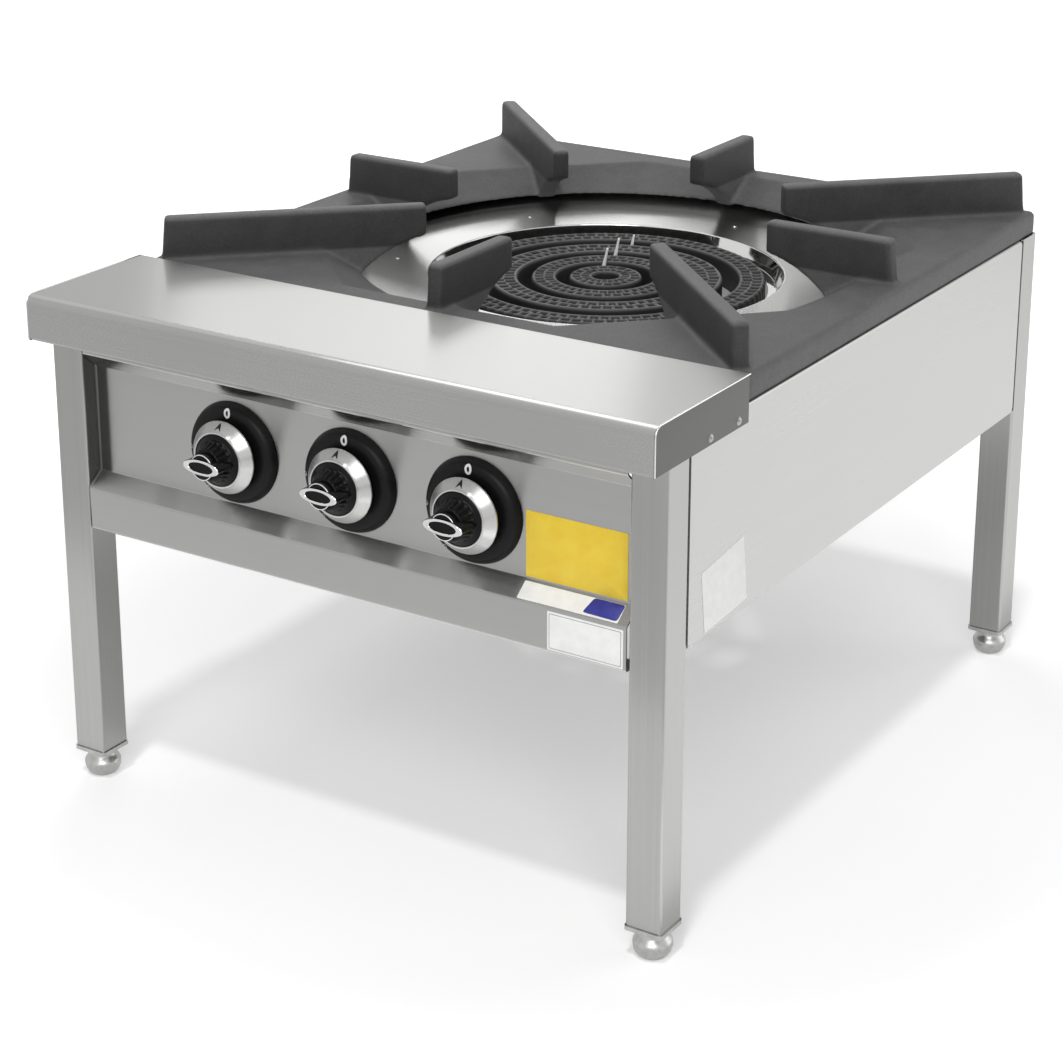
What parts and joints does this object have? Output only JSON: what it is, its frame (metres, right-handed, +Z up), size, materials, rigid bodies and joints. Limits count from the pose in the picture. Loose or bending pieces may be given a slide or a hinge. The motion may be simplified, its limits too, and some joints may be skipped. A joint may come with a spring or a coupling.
{
  "type": "floor gas stove",
  "caption": "Low stainless floor stove with a large ring burner, cast pan support with raised arms, front shelf and push-and-turn gas knobs on bulb feet.",
  "frame": {"origin": "centre of the footprint on the floor", "axes": "+Z up, -Y towards the cook (knob side), +X to the cook's right"},
  "size_m": [0.603, 0.748, 0.485],
  "materials": {
    "stainless": "brushed stainless sheet and tube",
    "polished_stainless": "polished stainless sheet",
    "chrome": "bright plated",
    "grate_iron": "matt black enamelled casting",
    "burner_iron": "raw dark casting",
    "black_plastic": "satin black moulding",
    "brass": "machined brass",
    "copper": "bent copper tube",
    "probe_steel": "bright probe tip and lead",
    "plain_steel": "plain zinc-plated steel"
  },
  "bodies": {
    "frame": {"air_shutters": "plain_steel", "back_panel": "stainless", "burner_bar_front": "plain_steel", "burner_bar_rear": "plain_steel", "burner_inner": "burner_iron", "burner_middle": "burner_iron", "burner_outer": "burner_iron", "control_panel": "stainless", "drip_tray": "polished_stainless", "front_shelf": "polished_stainless", "gas_inlet_pipe": "plain_steel", "gas_manifold": "plain_steel", "gas_tube_1": "copper", "gas_tube_2": "copper", "gas_tube_3": "copper", "injector_plate": "plain_steel", "injectors": "brass", "inlet_locknut": "brass", "knob_bezel_1": "black_plastic", "knob_bezel_2": "black_plastic", "knob_bezel_3": "black_plastic", "leg_end_caps": "stainless", "leg_front_left": "stainless", "leg_front_right": "stainless", "leg_rear_left": "stainless", "leg_rear_right": "stainless", "probe_bracket": "plain_steel", "shelf_rivets": "chrome", "side_panel_left": "stainless", "side_panel_right": "stainless", "thermocouple_1": "probe_steel", "thermocouple_2": "probe_steel", "thermocouple_3": "probe_steel", "valve_body_1": "brass", "valve_body_2": "brass", "valve_body_3": "brass", "valve_nuts": "brass"},
    "plug_1": {"valve_plug_1": "brass"},
    "knob_1": {"valve_spindle_1": "plain_steel", "knob_1": "black_plastic", "knob_skirt_1": "chrome"},
    "plug_2": {"valve_plug_2": "brass"},
    "knob_2": {"valve_spindle_2": "plain_steel", "knob_2": "black_plastic", "knob_skirt_2": "chrome"},
    "plug_3": {"valve_plug_3": "brass"},
    "knob_3": {"valve_spindle_3": "plain_steel", "knob_3": "black_plastic", "knob_skirt_3": "chrome"},
    "grate": {"pan_support_grate": "grate_iron"},
    "foot_front_left": {"foot_front_left": "chrome"},
    "foot_front_right": {"foot_front_right": "chrome"},
    "foot_rear_left": {"foot_rear_left": "chrome"},
    "foot_rear_right": {"foot_rear_right": "chrome"}
  },
  "joints": [
    {"name": "knob_1_turn", "type": "hinge", "parent": "frame", "child": "plug_1", "pos_m": [-0.118, -0.3, 0.336], "axis": [0, -1, 0], "range_deg": [0, 150]},
    {"name": "knob_1_push", "type": "slide", "parent": "plug_1", "child": "knob_1", "axis": [0, 1, 0], "range_m": [0, 0.004], "stiffness_N_per_m": 2500, "springref_m": -0.0016},
    {"name": "knob_2_turn", "type": "hinge", "parent": "frame", "child": "plug_2", "pos_m": [0, -0.3, 0.336], "axis": [0, -1, 0], "range_deg": [0, 150]},
    {"name": "knob_2_push", "type": "slide", "parent": "plug_2", "child": "knob_2", "axis": [0, 1, 0], "range_m": [0, 0.004], "stiffness_N_per_m": 2500, "springref_m": -0.0016},
    {"name": "knob_3_turn", "type": "hinge", "parent": "frame", "child": "plug_3", "pos_m": [0.118, -0.3, 0.336], "axis": [0, -1, 0], "range_deg": [0, 150]},
    {"name": "knob_3_push", "type": "slide", "parent": "plug_3", "child": "knob_3", "axis": [0, 1, 0], "range_m": [0, 0.004], "stiffness_N_per_m": 2500, "springref_m": -0.0016},
    {"name": "grate_lift", "type": "slide", "parent": "frame", "child": "grate", "axis": [0, 0, 1], "range_m": [0, 0.15]},
    {"name": "foot_front_left_screw", "type": "slide", "parent": "frame", "child": "foot_front_left", "axis": [0, 0, -1], "range_m": [0, 0.02]},
    {"name": "foot_front_right_screw", "type": "slide", "parent": "frame", "child": "foot_front_right", "axis": [0, 0, -1], "range_m": [0, 0.02]},
    {"name": "foot_rear_left_screw", "type": "slide", "parent": "frame", "child": "foot_rear_left", "axis": [0, 0, -1], "range_m": [0, 0.02]},
    {"name": "foot_rear_right_screw", "type": "slide", "parent": "frame", "child": "foot_rear_right", "axis": [0, 0, -1], "range_m": [0, 0.02]}
  ]
}
